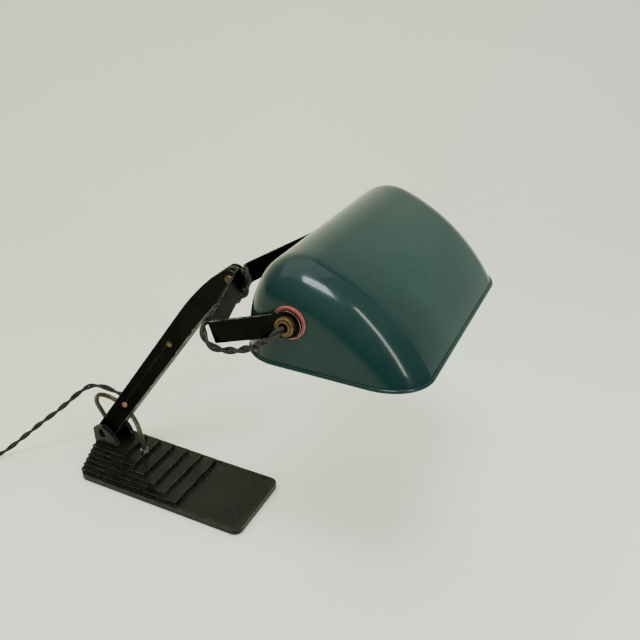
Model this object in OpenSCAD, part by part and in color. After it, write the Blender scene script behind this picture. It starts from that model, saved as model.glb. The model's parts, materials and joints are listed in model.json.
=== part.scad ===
// Swing arm desk lamp: a stepped cast foot, a curved channel arm that slides on a bent guide rod,
// a forked yoke and a long hood with the lampholder and bulb inside.
// Origin: centre of the foot's underside. +X is the front, +Z is up, millimetres.

/* [Foot] */
// Length of the foot, back to front
foot_l = 202; // [180:1:245]
// Width of the foot
foot_w = 85; // [76:1:104]
// Thickness of the front plate
plate_t = 6.4; // [5:0.2:9]
// Number of layers stepping up to the hinge
layers = 6; // [4:1:6]
// Depth of one tread
tread = 15.6; // [13:0.2:18]
// Height of one riser
riser = 3.9; // [3:0.1:4.8]
// How far each layer stands in at the sides
side_in = 3.6; // [2.4:0.1:4]
// Distance from the front edge to the lowest riser
apron = 77; // [60:1:95]
// Radius of the front corners
corner_r = 9; // [4:0.5:14]
// Radius of the stepped layers' corners
step_r = 1; // [0.4:0.1:3]
// Depth of the shallow tray in the front plate
tray_t = 0.8; // [0.4:0.1:1.4]
// Thickness of the felt under the foot
felt_t = 1.2; // [0.8:0.1:2.5]

/* [Hinge] */
// Diameter of the hinge pin
pin_d = 6; // [4:0.2:8]
// Height of the pin above the top layer
pin_h = 16.5; // [15:0.5:22]
// Distance of the pin from the foot's back edge
pin_back = 16; // [15:0.5:20]
// Thickness of one lug
lug_t = 5; // [3:0.5:6.5]
// Thickness of the washers beside the arm
hinge_washer_t = 2; // [1:0.2:3]

/* [Guide rod] */
// Diameter of the guide rod
rod_d = 5.2; // [4:0.2:6.2]
// Radius of the arc that the arm slides on
rod_r = 40; // [37:0.5:42]
// Radius of the bend at the top of the rod
rod_bend_r = 11; // [9:0.5:12]

/* [Arm] */
// Width of the arm, seen from the side
arm_w = 21; // [19:0.5:24]
// Thickness of the arm across its two cheeks
arm_t = 15; // [13.4:0.2:18]
// Thickness of the arm's sheet
arm_wall = 1.5; // [1:0.1:2]
// Angle of the straight part above the horizontal
arm_angle = 53.6; // [48:0.2:58]
// Length of the straight part
arm_straight = 205; // [160:1:250]
// Radius of the curved part
arm_bend_r = 285; // [230:5:400]
// Angle through which the curved part bends forward
arm_bend = 14; // [8:0.5:16]
// Radius of the arm's tip round the elbow screw
tip_r = 9.5; // [8.5:0.1:10.2]

/* [Yoke] */
// Width of the yoke's legs
leg_w = 17; // [14:0.5:19]
// Thickness of the yoke's sheet
yoke_t = 2; // [1.4:0.1:2.6]
// Distance from the shade's pivot to the corner of the yoke
leg_l = 64; // [60:1:80]
// Distance from the shade's pivot to the middle of the bridge
yoke_depth = 106; // [98:0.5:125]
// Width of the bridge at its middle
bridge_h = 17.5; // [16:0.5:20]
// Slope of the yoke above the horizontal
yoke_tilt = 19; // [10:1:30]
// Distance from the elbow screw to the back of the bridge
elbow_gap = 11.5; // [11.3:0.1:16]

/* [Shade] */
// Length of the shade, side to side
shade_l = 220; // [180:2:270]
// Radius that rounds the shade's ends
end_r = 29.7; // [22:0.1:32]
// Thickness of the shade's sheet
shade_wall = 1; // [0.8:0.1:1.4]
// Depth of the shade's rim below its pivot
rim_drop = 35.7; // [33:0.1:40]
// Distance from the pivot to the shade's back
shade_back = 43.8; // [42:0.1:46]
// Radius of the rolled rim
bead_r = 1.6; // [1.2:0.1:2.2]

/* [Fittings] */
// Outer diameter of the hollow pivot nipple
nipple_d = 10; // [9.6:0.2:12]
// Thickness of the fibre washers at the shade's ends
fibre_t = 2.2; // [1.4:0.1:3]
// Diameter of the elbow screw
elbow_d = 4; // [3:0.2:4.4]
// Diameter of the bulb's glass
bulb_d = 58; // [50:1:60]

/* [Flex] */
// Diameter of the twisted flex
flex_d = 5.8; // [5:0.1:6]
// Diameter of the plug
plug_d = 30; // [26:1:36]

/* [Hidden] */

$fn = 64;
running = 0.05;     // radial clearance of a running fit
snug = 0.02;        // radial clearance of a fixed fit
gap = 0.1;          // gap between flat faces that slide past each other
e = 0.01;

// foot and hinge
layer_top = felt_t + plate_t + layers * riser;
foot_back = -foot_l / 2;
foot_front = foot_l / 2;
back_in = 0.7;                          // how far each layer stands in at the back
top_back = foot_back + layers * back_in;
pin_x = foot_back + pin_back;
pin_z = layer_top + pin_h;
pin_r = pin_d / 2;
lug_in = arm_t / 2 + hinge_washer_t + 2 * gap;
lug_out = lug_in + lug_t;
lug_top_r = 7.5;
pin_head_t = 2.6;
eye_r = pin_r + 3;
eye_t = rod_d;
spacer_end = arm_t / 2 - arm_wall - gap;

// pocket under the casting, which holds the guide rod's nut
pocket_top = 12;                        // thickness of iron left above the pocket
pocket_z = layer_top - 2 * riser - pocket_top;
rod_nut_t = 5;
rod_nut_r = 5.8;

// guide rod: arc about the pin from rod_start to rod_end degrees
rod_start = 8;
rod_end = 98;
rod_turn = 115;
rod_leg = rod_start + 180;              // direction pointing down the front leg
rod_foot_z = pocket_z - 1;
function step_front(i) = i == 0 ? foot_front : foot_front - apron - tread * (i - 1);
rod_leg_x = pin_x + rod_r * cos(rod_start) + (pin_z + rod_r * sin(rod_start) - layer_top) * tan(rod_start);
rod_layer = max([for (i = [0:layers]) if (step_front(i) > rod_leg_x) i]);
tread_z = felt_t + plate_t + riser * rod_layer;  // the tread that the rod's front leg goes through

// arm: s runs along it from the pin, o stands out towards its open back
function along(a, s, o) = [s * cos(a) - o * sin(a), s * sin(a) + o * cos(a)];
function pin_point(s, o) = [pin_x, pin_z] + along(arm_angle, s, o);
bend_centre = pin_point(arm_straight, -arm_bend_r);
function bend_point(turn, o) = bend_centre
    + (arm_bend_r + o) * [cos(arm_angle + 90 - turn), sin(arm_angle + 90 - turn)];
elbow = bend_point(arm_bend, 0);
tip_angle = arm_angle - arm_bend;
cheek_in = arm_t / 2 - arm_wall;
web_start = 15;                         // the web begins this far above the pin
web_slot_s = 38.5;
web_slot_l = 15;
rivet_s = 165;
jaw_s = 52.4;
jaw_low = 34;
jaw_high = 55;
jaw_half = 3.4;
jaw_split = 0.5;
screw_r = 1.5;
elbow_r = elbow_d / 2;
flex_r = flex_d / 2;
flex_o = max(elbow_r, 2) + flex_r + 0.3;  // height of the flex above the arm's middle
outlet_r = 12;                          // bend of the flex where it leaves the arm
outlet_s = 62;
outlet_turn = 60;

// yoke: u runs forward along the legs, w up across them, both from the shade's pivot
half_l = shade_l / 2;
leg_in = half_l + fibre_t + gap;
leg_mid = leg_in + yoke_t / 2;
leg_out = leg_in + yoke_t;
leg_end_r = 10.3;
bridge_low = -6.5;                      // lower edge of the bridge at its middle
bridge_flat = 9;                        // half width of the bridge's flat middle
yoke_bend_r = 3;
knuckle_w = 3.2;                        // height of the elbow screw above the legs' middle line
ear_out = cheek_in - 0.9;
ear_t = 1.5;
ear_in = ear_out - ear_t;
ear_r = 8.4;
base_t = 1.6;
function uw(u, w) = [u * cos(yoke_tilt) - w * sin(yoke_tilt), u * sin(yoke_tilt) + w * cos(yoke_tilt)];
elbow_u = -yoke_depth - yoke_t / 2 - elbow_gap;
pivot = elbow - uw(elbow_u, knuckle_w);
pivot_x = pivot[0];
pivot_z = pivot[1];

// shade profile, from the pivot: a back arc, a top arc and a long front arc
back_arc_z = -20.8;
back_arc_r = 80.2;
back_arc_t = -57.9;
top_arc_r = 33.7;
top_arc_t = 20;
front_arc_r = 159;
back_c = [back_arc_r - shade_back, back_arc_z];
top_c = back_c + (back_arc_r - top_arc_r) * [sin(back_arc_t), cos(back_arc_t)];
front_c = top_c + (top_arc_r - front_arc_r) * [sin(top_arc_t), cos(top_arc_t)];
function arc_points(c, r, from, to, n, first) =
    [for (i = [first:n]) let (t = from + (to - from) * i / n) c + r * [sin(t), cos(t)]];
function profile(inset, low) = concat(
    [[inset - shade_back, low]],
    arc_points(back_c, back_arc_r - inset, -90, back_arc_t, 4, 0),
    arc_points(top_c, top_arc_r - inset, back_arc_t, top_arc_t, 9, 1),
    arc_points(front_c, front_arc_r - inset, top_arc_t,
        acos((low - front_c[1]) / (front_arc_r - inset)), 11, 1));
end_steps = 7;
function end_stations(r, wall) = [for (i = [0:end_steps]) let (t = 90 * (1 - i / end_steps))
    [half_l - end_r + r * sin(t), wall + r * (1 - cos(t))]];
function stations(r, wall) = concat(
    [for (s = end_stations(r, wall)) [-s[0], s[1]]],
    [for (i = [end_steps:-1:0]) end_stations(r, wall)[i]]);

// lampholder and bulb, along +Y from the inside of the near end
inside_y = -half_l + shade_wall;
lock_t = 3;
cap_y = inside_y + lock_t;
cap_l = 12;
core_y = cap_y + cap_l;
core_l = 14;
shell_l = 42;
shell_r = 17;
thread_r = 13;
thread_y = core_y + core_l + 3;
bulb_l = 100;
nipple_r = nipple_d / 2;
nipple_bore = flex_r + 0.5;
ring_nut_t = 4.5;
nipple_out = -leg_out - gap - ring_nut_t - 1;
far_r = 2.5;
bar_r = 2;
bar_out = 7;
bar_travel = 6;
bar_y = core_y + core_l / 2;

// free cord: hand-chosen route from the arm's outlet down to the table, then the coil
cord_route = [
    [-64.2, 0, 95.9], [-72, -1, 98], [-80, -3, 101], [-88, -6, 103], [-96, -9, 102], [-104, -12, 97],
    [-113, -16, 89], [-124, -20, 78], [-139, -25, 64], [-155, -32, 50], [-170, -38, 36],
    [-182, -43, 25], [-194, -49, 14], [-205, -55, 6], [-217, -62, 3.2], [-234, -74, 3.2],
    [-250, -85, 3.2]
];
coil_x = -225;
coil_y = -122;
coil_z = 1.2;
coil_mid = 33.3;
coil_rows = 5;                          // turns side by side in the coil's bottom layer
coil_h = 1.87 * flex_d;                 // height of its two nested layers
lead_route = [
    [-262, -123, 9.1], [-262, -134, 9.3], [-262, -144, 10.8], [-262, -153, 13.3], [-262, -161, 14.9],
    [-262, -168, 15.2], [-262, -176, 15.2]
];
plug_l = 36;
plug_y = -168;
pin_pitch = 19;
plug_pin_r = 2;

// flex on the yoke, in the yoke's own u, Y and w: through the notch, down in front of the bridge's
// middle, under its edge, along its back, round the near corner and under the near leg to the nipple
bridge_run = (leg_mid - bridge_flat) / (yoke_depth - leg_l);
function behind(y, w) = [-yoke_depth - yoke_t / 2 - flex_r - 1.4 + (y - bridge_flat) / bridge_run, -y, w];
function beside(u, out, w) = [u, -leg_mid - out, w];
yoke_route = [
    [-110, 0, 8], [-106, -0.2, 8.3], [-102.5, -1, 7.4], [-100.6, -3, 3.5], [-100.8, -5, -1],
    [-101.6, -8, -6], [-103.4, -12, -10], [-104.6, -18, -11.2], [-104.4, -26, -10.6], behind(38, -6),
    behind(52, -1), behind(66, 2), behind(leg_mid - 33.3, 4), behind(leg_mid - 17.3, 5),
    behind(leg_mid - 6.3, 5), beside(-69.4, 1.7, 2.5), beside(-67.6, 4.7, -3.6), beside(-63.4, 4.7, -9.6),
    beside(-54, 4.7, -12.6), beside(-45, 4.7, -13.6), beside(-37, 4.7, -13.2), beside(-28, 5.7, -11.6),
    beside(-19, 8.7, -8.6), beside(-11, 12.7, -5), beside(-4.5, 14.2, -2), beside(-0.8, 11.7, -0.4),
    [0, nipple_out - 1, 0]
];

// ---------- shared shapes ----------

// Puts a shape drawn in X and Z, and extruded through t, across the middle plane
module across(t) { rotate([90, 0, 0]) linear_extrude(height = t, center = true) children(); }

// A round bar along Y from y0 to y1 at x, z
module bar_y(x, z, y0, y1, r) {
    translate([x, y0, z]) rotate([-90, 0, 0]) cylinder(r = r, h = y1 - y0);
}

module ring_y(x, z, y0, y1, r, bore) {
    difference() {
        bar_y(x, z, y0, y1, r);
        bar_y(x, z, y0 - 1, y1 + 1, bore);
    }
}

module hex_y(x, z, y0, y1, r, bore) {
    difference() {
        translate([x, y0, z]) rotate([-90, 0, 0]) cylinder(r = r, h = y1 - y0, $fn = 6);
        bar_y(x, z, y0 - 1, y1 + 1, bore);
    }
}

// A domed head on the -Y side of y, or on the +Y side when far is true
module dome_y(x, z, y, r, h, far = false) {
    ball = (r * r + h * h) / (2 * h);
    translate([x, y, z]) rotate([far ? -90 : 90, 0, 0]) intersection() {
        translate([0, 0, h - ball]) sphere(r = ball);
        cylinder(r = r, h = h);
    }
}

// A plate with rounded corners, from x0 to x1, half width w
module rounded_plate(x0, x1, w, r) {
    translate([x0, -w + r]) square([x1 - x0, 2 * w - 2 * r]);
    translate([x0 + r, -w]) square([x1 - x0 - 2 * r, 2 * w]);
    for (x = [x0 + r, x1 - r], y = [-w + r, w - r]) translate([x, y]) circle(r = r);
}

function unit(v) = v / norm(v);
function tangent(p, i) = unit(p[min(i + 1, len(p) - 1)] - p[max(i - 1, 0)]);

// A round tube along points p; no stretch of p may run straight up
module tube(p, r, sides = 8) {
    ring = [for (i = [0:len(p) - 1])
        let (t = tangent(p, i), a = unit(cross(t, [0, 0, 1])), b = cross(t, a))
        for (k = [0:sides - 1]) p[i] + r * (cos(360 * k / sides) * a + sin(360 * k / sides) * b)];
    last = len(p) - 1;
    side = [for (i = [0:last - 1], k = [0:sides - 1])
        let (a = i * sides + k, b = i * sides + (k + 1) % sides)
        each [[a, a + sides, b], [b, a + sides, b + sides]]];
    polyhedron(ring, concat([[for (k = [0:sides - 1]) k]],
        side, [[for (k = [sides - 1:-1:0]) last * sides + k]]));
}

// Points on a smooth curve through p, n to each span
function curve_point(p, i, t) =
    let (a = p[max(i - 1, 0)], b = p[i], c = p[i + 1], d = p[min(i + 2, len(p) - 1)])
    0.5 * (2 * b + (c - a) * t + (2 * a - 5 * b + 4 * c - d) * t * t
        + (3 * b - a - 3 * c + d) * t * t * t);
function curve(p, n) = concat(
    [for (i = [0:len(p) - 2], k = [0:n - 1]) curve_point(p, i, k / n)], [p[len(p) - 1]]);

// ---------- foot ----------

module foot_layer(i, inset, z0, z1) {
    x1 = step_front(i);
    translate([0, 0, z0]) linear_extrude(height = z1 - z0)
        rounded_plate(foot_back + back_in * i + inset, x1 - inset,
            foot_w / 2 - side_in * i - inset, i == 0 ? corner_r : step_r);
}

module lug_outline() {
    translate([pin_x, pin_z]) circle(r = lug_top_r);
    translate([top_back + 4, pin_z + 2]) circle(r = 4);
    polygon([
        [top_back, layer_top - e], [top_back, pin_z + 2], [top_back + 4, pin_z + 6],
        [pin_x - 1, pin_z + lug_top_r - e], [pin_x, pin_z],
        [pin_x + lug_top_r * cos(55), pin_z + lug_top_r * sin(55)],
        [pin_x + 9.8, pin_z + 2.5], [pin_x + 14.2, pin_z - 2.5], [pin_x + 17, pin_z - 8],
        [pin_x + 18.5, pin_z - 13], [pin_x + 18.5, layer_top - e]
    ]);
}

module rod_hole() {
    rod_front_axis() cylinder(r = rod_d / 2 + snug, h = 90, center = true);
}

module foot_casting() {
    color([0.07, 0.07, 0.07]) difference() {
        union() {
            for (i = [0:layers])
                foot_layer(i, 0, i == 0 ? felt_t : felt_t + plate_t + riser * (i - 1),
                    felt_t + plate_t + riser * i);
            for (side = [-1, 1]) translate([0, side * (lug_in + lug_t / 2), 0]) across(lug_t) lug_outline();
        }
        pocket();
        tray();
        bar_y(pin_x, pin_z, -foot_w, foot_w, pin_r + snug);
        rod_hole();
    }
}

// The sunk face of the front plate, inside a low rim
module tray() {
    rim = 3;
    x0 = foot_front - apron;
    translate([0, 0, felt_t + plate_t - tray_t]) linear_extrude(height = 2 * tray_t) difference() {
        rounded_plate(x0 - 30, foot_front - rim, foot_w / 2 - rim, corner_r - rim);
        translate([x0 - 40, -foot_w]) square([40, 2 * foot_w]);
    }
}

// The hollow under the steps
module pocket() {
    translate([0, 0, felt_t - 1]) linear_extrude(height = pocket_z - felt_t + 1)
        rounded_plate(foot_back + 12, foot_front - apron - 4 * tread + 8, foot_w / 2 - 16, 6);
}

module base_felt() {
    color([0.16, 0.3, 0.2]) linear_extrude(height = felt_t)
        rounded_plate(foot_back + 2, foot_front - 2, foot_w / 2 - 2, corner_r - 2);
}

// Places a shape drawn along Z on the front leg of the guide rod, 0 at the start of the arc
module rod_front_axis() {
    translate([pin_x + rod_r * cos(rod_start), 0, pin_z + rod_r * sin(rod_start)])
        rotate([0, -rod_start, 0]) children();
}

// A round rod bent in the XZ plane along points p, each [x, z]
module bent_rod(p, r, sides = 16) {
    last = len(p) - 1;
    ring = [for (i = [0:last]) let (t = tangent(p, i)) for (k = [0:sides - 1])
        let (c = r * cos(360 * k / sides)) [p[i][0] + c * t[1], r * sin(360 * k / sides), p[i][1] - c * t[0]]];
    side = [for (i = [0:last - 1], k = [0:sides - 1])
        let (a = i * sides + k, b = i * sides + (k + 1) % sides)
        each [[a, a + sides, b], [b, a + sides, b + sides]]];
    polyhedron(ring, concat([[for (k = [0:sides - 1]) k]],
        side, [[for (k = [sides - 1:-1:0]) last * sides + k]]));
}

rod_top = [pin_x, pin_z] + (rod_r - rod_bend_r) * [cos(rod_end), sin(rod_end)];
rod_back = rod_top + rod_bend_r * [cos(rod_end + rod_turn), sin(rod_end + rod_turn)];
front_leg_l = (pin_z + rod_r * sin(rod_start) - rod_foot_z + rod_nut_t + 3) / cos(rod_start);

rod_path = concat(
    [[pin_x, pin_z] + rod_r * [cos(rod_start), sin(rod_start)] + front_leg_l * [sin(rod_start), -cos(rod_start)]],
    [for (i = [0:18]) let (a = rod_start + i / 18 * (rod_end - rod_start))
        [pin_x, pin_z] + rod_r * [cos(a), sin(a)]],
    [for (i = [1:10]) let (a = rod_end + i / 10 * rod_turn) rod_top + rod_bend_r * [cos(a), sin(a)]],
    [[pin_x, pin_z] - (pin_r + 0.5) * unit([pin_x, pin_z] - rod_back)]
);

module guide_rod() {
    color([0.55, 0.5, 0.45]) difference() {
        union() {
            bent_rod(rod_path, rod_d / 2);
            bar_y(pin_x, pin_z, -eye_t / 2, eye_t / 2, eye_r);
        }
        bar_y(pin_x, pin_z, -20, 20, pin_r + snug);
    }
}

module rod_nut() {
    down = (pin_z + rod_r * sin(rod_start) - pocket_z) / cos(rod_start) + 2;
    color([0.6, 0.6, 0.58]) rod_front_axis() translate([0, 0, -down - rod_nut_t]) difference() {
        union() {
            cylinder(r = rod_nut_r, h = rod_nut_t, $fn = 6);
            translate([0, 0, rod_nut_t]) cylinder(r = rod_nut_r + 0.8, h = 0.9);
        }
        translate([0, 0, -1]) cylinder(r = rod_d / 2 + snug, h = rod_nut_t + 3);
    }
}

// Nut that locks the rod's front leg on the tread; it is flat underneath and leans with the rod
module rod_collar() {
    down = (pin_z + rod_r * sin(rod_start) - tread_z) / cos(rod_start);
    color([0.5, 0.46, 0.4]) intersection() {
        rod_front_axis() translate([0, 0, -down - 2]) difference() {
            cylinder(r = 4.4, h = 5.4, $fn = 6);
            translate([0, 0, -1]) cylinder(r = rod_d / 2 + snug, h = 10);
        }
        translate([pin_x, -20, tread_z]) cube([80, 40, 20]);
    }
}

module hinge_pin() {
    color([0.1, 0.1, 0.09]) {
        bar_y(pin_x, pin_z, -lug_out - e, lug_out + 7, pin_r);
        dome_y(pin_x, pin_z, -lug_out, pin_r + 2, pin_head_t);
    }
}

module hinge_nut() {
    color([0.7, 0.66, 0.5]) hex_y(pin_x, pin_z, lug_out, lug_out + 5, pin_r + 2.6, pin_r + snug);
}

module hinge_washers() {
    color([0.08, 0.08, 0.07]) for (side = [-1, 1])
        ring_y(pin_x, pin_z, side * (arm_t / 2 + gap + hinge_washer_t / 2) - hinge_washer_t / 2,
            side * (arm_t / 2 + gap + hinge_washer_t / 2) + hinge_washer_t / 2, 7.2, pin_r + snug);
}

module eye_spacers() {
    color([0.62, 0.58, 0.5]) for (side = [-1, 1])
        ring_y(pin_x, pin_z, min(side * eye_t / 2, side * spacer_end), max(side * eye_t / 2, side * spacer_end),
            pin_r + 1.8, pin_r + snug);
}

// ---------- arm ----------

// The line that runs along the arm at offset o, from from_s up the straight part to to_turn degrees
function arm_line(o, from_s, to_turn) = concat([pin_point(from_s, o), pin_point(arm_straight, o)],
    [for (i = [1:10]) bend_point(to_turn * i / 10, o)]);
function round_end(c, r, from) = [for (i = [0:24]) c + r * [cos(from + 7.5 * i), sin(from + 7.5 * i)]];
function reversed(p) = [for (i = [len(p) - 1:-1:0]) p[i]];

module arm_side() {
    polygon(concat(
        round_end([pin_x, pin_z], arm_w / 2, arm_angle + 90),
        arm_line(-arm_w / 2, 1, arm_bend - 3),
        round_end(elbow, tip_r, tip_angle - 90),
        reversed(arm_line(arm_w / 2, 1, arm_bend - 3))));
}

module arm_channel() {
    color([0.08, 0.08, 0.075]) difference() {
        across(arm_t) arm_side();
        across(2 * cheek_in) polygon(concat(arm_line(arm_wall - arm_w / 2, 0, arm_bend),
            reversed(arm_line(arm_w, 0, arm_bend))));
        across(2 * cheek_in) translate([pin_x, pin_z]) circle(r = web_start);
        across(2 * cheek_in) translate(elbow) circle(r = ear_r + 6);
        translate([pin_point(web_slot_s, -arm_w / 2)[0], 0, pin_point(web_slot_s, -arm_w / 2)[1]])
            rotate([0, -arm_angle, 0]) cube([web_slot_l, rod_d + 2.4, 8], center = true);
        bar_y(pin_x, pin_z, -20, 20, pin_r + running);
        bar_y(elbow[0], elbow[1], -20, 20, elbow_r + snug);
        bar_y(pin_point(rivet_s, 0)[0], pin_point(rivet_s, 0)[1], -20, 20, screw_r + snug);
        bar_y(pin_point(jaw_s, 0)[0], pin_point(jaw_s, 0)[1], -20, 20, screw_r + snug);
    }
}

module arm_rivet() {
    p = pin_point(rivet_s, 0);
    color([0.7, 0.55, 0.3]) {
        bar_y(p[0], p[1], -arm_t / 2 - e, arm_t / 2 + e, screw_r);
        for (side = [-1, 1]) dome_y(p[0], p[1], side * arm_t / 2, 3.2, 1.3, side > 0);
        ring_y(p[0], p[1], -cheek_in, cheek_in, screw_r + 0.7, screw_r - e);
    }
}

module clamp_jaws() {
    low = jaw_split / 2;
    color([0.72, 0.58, 0.32]) difference() {
        for (side = [-1, 1]) translate([0, side * (low + cheek_in) / 2, 0]) across(cheek_in - low)
            polygon([pin_point(jaw_low, -jaw_half), pin_point(jaw_high, -jaw_half),
                pin_point(jaw_high, jaw_half), pin_point(jaw_low, jaw_half)]);
        translate([pin_x, 0, pin_z]) rotate([90, 0, 0]) rotate_extrude()
            translate([rod_r, 0]) circle(r = rod_d / 2 + running);
        bar_y(pin_point(jaw_s, 0)[0], pin_point(jaw_s, 0)[1], -20, 20, screw_r + snug);
    }
}

module slotted_screw(p, r, y0, y1, head_r, head_t) {
    difference() {
        union() {
            bar_y(p[0], p[1], y0 - e, y1, r);
            dome_y(p[0], p[1], y0, head_r, head_t);
        }
        translate([p[0], y0 - head_t, p[1]]) rotate([0, 35, 0]) cube([3 * head_r, 1.2, 0.8], center = true);
    }
}

module jaw_screw() {
    color([0.62, 0.33, 0.22])
        slotted_screw(pin_point(jaw_s, 0), screw_r, -arm_t / 2, arm_t / 2 + 3.4, 3.4, 1.8);
}

module jaw_nut() {
    p = pin_point(jaw_s, 0);
    color([0.7, 0.6, 0.36]) hex_y(p[0], p[1], arm_t / 2, arm_t / 2 + 2.4, 3.2, screw_r + snug);
}

module elbow_screw() {
    color([0.7, 0.58, 0.34]) slotted_screw(elbow, elbow_r, -arm_t / 2, arm_t / 2 + 4.4, 4.2, 2);
}

module elbow_nut() {
    color([0.7, 0.6, 0.36])
        hex_y(elbow[0], elbow[1], arm_t / 2, arm_t / 2 + 3.2, elbow_r + 2, elbow_r + snug);
}

module elbow_washers() {
    t = cheek_in - ear_out - 2 * gap;
    mid = (cheek_in + ear_out) / 2;
    color([0.5, 0.2, 0.15]) for (side = [-1, 1])
        ring_y(elbow[0], elbow[1], side * mid - t / 2, side * mid + t / 2, 7, elbow_r + snug);
}

// Bent straps that hold the flex in the channel
module flex_clips() {
    strap = 0.8;
    top = flex_o + flex_r + 0.2;
    color([0.72, 0.6, 0.34]) for (s = [78, 132, 190])
        translate([pin_point(s, 0)[0], 0, pin_point(s, 0)[1]]) rotate([0, -arm_angle, 0]) {
            translate([-3, -cheek_in, top]) cube([6, 2 * cheek_in, strap]);
            for (side = [-1, 1]) translate([-3, side * (cheek_in - strap / 2) - strap / 2, top - 5])
                cube([6, strap, 5]);
        }
}

function outlet_point(t) =
    let (p = pin_point(outlet_s - outlet_r * sin(t), flex_o + outlet_r * (1 - cos(t)))) [p[0], 0, p[1]];
function flex_at(s) = let (p = pin_point(s, flex_o)) [p[0], 0, p[1]];
function flex_bend(turn) = let (p = bend_point(turn, flex_o)) [p[0], 0, p[1]];
flex_stop = arm_bend - 5;
arm_flex_route = concat(
    [for (t = [outlet_turn:-10:10]) outlet_point(t)],
    [for (i = [0:12]) flex_at(outlet_s + (arm_straight - outlet_s) * i / 12)],
    [for (t = [2:2:flex_stop]) flex_bend(t)]);

module flex_arm() { color([0.1, 0.1, 0.1]) tube(arm_flex_route, flex_r); }

// The stretch that bends as the elbow turns, over the elbow screw and the arm's tip
function yoke_to_world(p) = [pivot_x + uw(p[0], p[2])[0], p[1], pivot_z + uw(p[0], p[2])[1]];
function tip_point(s, o, y) = let (d = along(tip_angle, s, o)) [elbow[0] + d[0], y, elbow[1] + d[1]];
elbow_flex_route = [
    arm_flex_route[len(arm_flex_route) - 1],
    tip_point(-16, flex_o, 0),
    tip_point(-8, flex_o + 0.4, 0),
    tip_point(-1, flex_o + 0.9, 0),
    tip_point(5, 4.6, 0),
    yoke_to_world(yoke_route[0] - [2, 0, 0])
];

module flex_elbow() { color([0.1, 0.1, 0.1]) tube(curve(elbow_flex_route, 2), flex_r); }

// ---------- yoke ----------

module yoke_frame() { translate([pivot_x, 0, pivot_z]) rotate([0, -yoke_tilt, 0]) children(); }

// Path p with each of its corners rounded to radius r
function rounded_path(p, r, n = 8) = concat([p[0]],
    [for (i = [1:len(p) - 2])
        let (d = unit(p[i] - p[i - 1]), f = unit(p[i + 1] - p[i]), s = sign(d[0] * f[1] - d[1] * f[0]),
            turn = acos(d * f), a = p[i] - d * r * tan(turn / 2), c = a + s * r * [-d[1], d[0]])
        for (k = [0:n]) let (g = s * turn * k / n, v = a - c)
            c + [v[0] * cos(g) - v[1] * sin(g), v[0] * sin(g) + v[1] * cos(g)]],
    [p[len(p) - 1]]);

// A strip of thickness t bent along path p, drawn flat
module bent_strip(p, t) {
    last = len(p) - 1;
    side = [for (i = [0:last])
        let (d = tangent(p, i), f = unit(p[min(i + 1, last)] - p[min(i, last - 1)]))
            [-d[1], d[0]] * t / 2 / (d * f)];
    polygon(concat([for (i = [0:last]) p[i] + side[i]], [for (i = [last:-1:0]) p[i] - side[i]]));
}

yoke_plan = [[-2, leg_mid], [-leg_l, leg_mid], [-yoke_depth, bridge_flat],
    [-yoke_depth, -bridge_flat], [-leg_l, -leg_mid], [-2, -leg_mid]];
yoke_path = rounded_path(yoke_plan, yoke_bend_r + yoke_t / 2);

module yoke_side() {
    h = leg_w / 2;
    polygon([[-2, 0.3 - leg_end_r], [-8, -h - 0.6], [-20, -h], [-leg_l, -h], [-yoke_depth, bridge_low],
        [-yoke_depth - yoke_t, bridge_low], [-yoke_depth - yoke_t, bridge_low + bridge_h],
        [-yoke_depth, bridge_low + bridge_h], [-leg_l, h], [-20, h], [-8, h + 0.6], [-2, leg_end_r - 0.3]]);
}

module yoke_strip() {
    color([0.06, 0.06, 0.06]) yoke_frame() difference() {
        union() {
            intersection() {
                translate([0, 0, -30]) linear_extrude(height = 70) bent_strip(yoke_path, yoke_t);
                across(4 * leg_out) yoke_side();
            }
            bar_y(0, 0, -leg_out, -leg_in, leg_end_r);
            bar_y(0, 0, leg_in, leg_out, leg_end_r);
        }
        bar_y(0, 0, -leg_out - 1, -leg_in + 1, nipple_r + running);
        bar_y(0, 0, leg_in - 1, leg_out + 1, far_r + running);
        translate([-yoke_depth - 5, -flex_r - 0.7, notch_w]) cube([10, flex_d + 1.4, bridge_h]);
        for (w = rivet_ws) translate([-yoke_depth, 0, w]) rotate([0, 90, 0])
            cylinder(r = screw_r + snug, h = 20, center = true);
    }
}

rivet_ws = [knuckle_w - 6, knuckle_w - 1.8];
notch_w = 4.4;                          // bottom of the notch that lets the flex through the bridge
base_u = -yoke_depth - yoke_t / 2 - base_t;

// U bracket behind the bridge; its two ears turn on the elbow screw
module knuckle() {
    color([0.09, 0.09, 0.09]) yoke_frame() difference() {
        union() {
            for (side = [-1, 1]) translate([0, side * (ear_in + ear_t / 2), 0]) across(ear_t) {
                translate([elbow_u, knuckle_w]) circle(r = ear_r);
                polygon([[elbow_u, knuckle_w - ear_r], [base_u + base_t, knuckle_w - ear_r],
                    [base_u + base_t, knuckle_w + 0.6], [elbow_u, knuckle_w + 0.6]]);
            }
            translate([base_u, -ear_out, knuckle_w - ear_r]) cube([base_t, 2 * ear_out, ear_r + 0.6]);
        }
        bar_y(elbow_u, knuckle_w, -20, 20, elbow_r + running);
        for (w = rivet_ws) translate([-yoke_depth, 0, w]) rotate([0, 90, 0])
            cylinder(r = screw_r + snug, h = 20, center = true);
    }
}

module knuckle_rivets() {
    head_r = screw_r + 0.5;
    color([0.2, 0.2, 0.2]) yoke_frame() for (w = rivet_ws) translate([-yoke_depth, 0, w]) rotate([0, 90, 0]) {
        translate([0, 0, -yoke_t / 2 - base_t - 1]) cylinder(r = screw_r, h = yoke_t + base_t + 1 + e);
        translate([0, 0, -yoke_t / 2 - base_t - 1]) cylinder(r = head_r, h = 1);
        translate([0, 0, yoke_t / 2]) intersection() {
            translate([0, 0, -1.6]) sphere(r = 2.5);
            cylinder(r = head_r, h = 3);
        }
    }
}

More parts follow.
